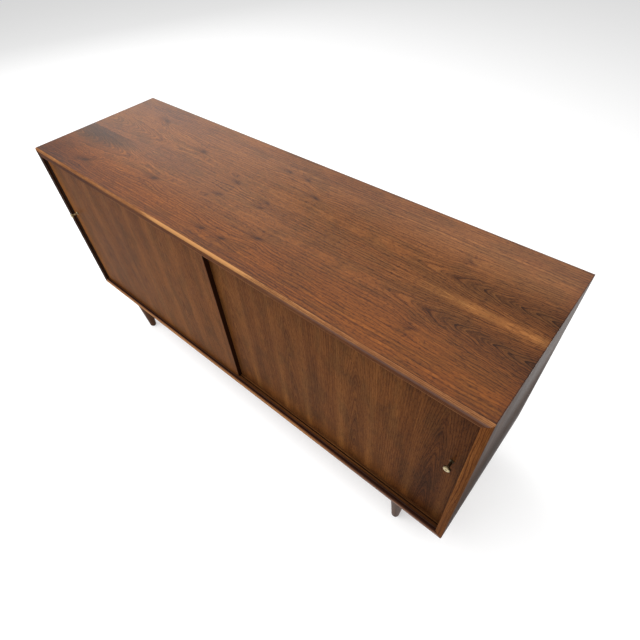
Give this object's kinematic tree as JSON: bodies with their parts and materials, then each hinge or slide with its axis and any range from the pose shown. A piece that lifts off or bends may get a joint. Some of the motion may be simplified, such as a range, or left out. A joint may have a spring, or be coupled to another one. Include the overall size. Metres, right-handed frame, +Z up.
{
  "type": "sideboard buffet",
  "caption": "Low rectangular wooden sideboard with a mitred case on tapered round legs, bypass sliding doors with small round knobs, and shelved bays behind them.",
  "frame": {"origin": "on the floor, under the middle of the bounding box", "axes": "+X to the right along the width, +Y from the doors to the back, +Z up"},
  "size_m": [1.524, 0.457, 0.767],
  "materials": {
    "case_walnut": "satin lacquered walnut veneer, grain along each board",
    "solid_walnut": "satin lacquered solid walnut",
    "leg_walnut": "satin lacquered turned walnut",
    "door_walnut": "satin lacquered walnut veneer, grain upright",
    "back_plywood": "plain plywood",
    "zinc_steel": "zinc plated",
    "glide_pad": "dark matt pad",
    "nylon": "off-white nylon",
    "knob_brass": "satin brass"
  },
  "bodies": {
    "case": {"top_panel": "case_walnut", "bottom_panel": "case_walnut", "side_left": "case_walnut", "side_right": "case_walnut", "lip_top": "solid_walnut", "lip_bottom": "solid_walnut", "lip_left": "solid_walnut", "lip_right": "solid_walnut", "back_panel": "back_plywood", "back_screws": "zinc_steel", "centre_divider": "case_walnut", "shelf_left": "case_walnut", "shelf_right": "case_walnut", "shelf_pins": "zinc_steel", "track_upper": "solid_walnut", "track_lower": "solid_walnut", "leg_front_left": "leg_walnut", "leg_front_right": "leg_walnut", "leg_back_left": "leg_walnut", "leg_back_right": "leg_walnut", "leg_plates": "zinc_steel", "leg_plate_screws": "zinc_steel", "leg_bolts": "zinc_steel", "leg_glides": "glide_pad"},
    "left_door": {"door_left": "door_walnut", "door_runners_left": "nylon", "door_guides_left": "nylon", "knob_left": "knob_brass", "knob_screw_left": "zinc_steel"},
    "right_door": {"door_right": "door_walnut", "door_runners_right": "nylon", "door_guides_right": "nylon", "knob_right": "knob_brass", "knob_screw_right": "zinc_steel"}
  },
  "joints": [
    {"name": "left_door_slide", "type": "slide", "parent": "case", "child": "left_door", "axis": [1, 0, 0], "range_m": [0, 0.34]},
    {"name": "right_door_slide", "type": "slide", "parent": "case", "child": "right_door", "axis": [1, 0, 0], "range_m": [-0.34, 0]}
  ]
}
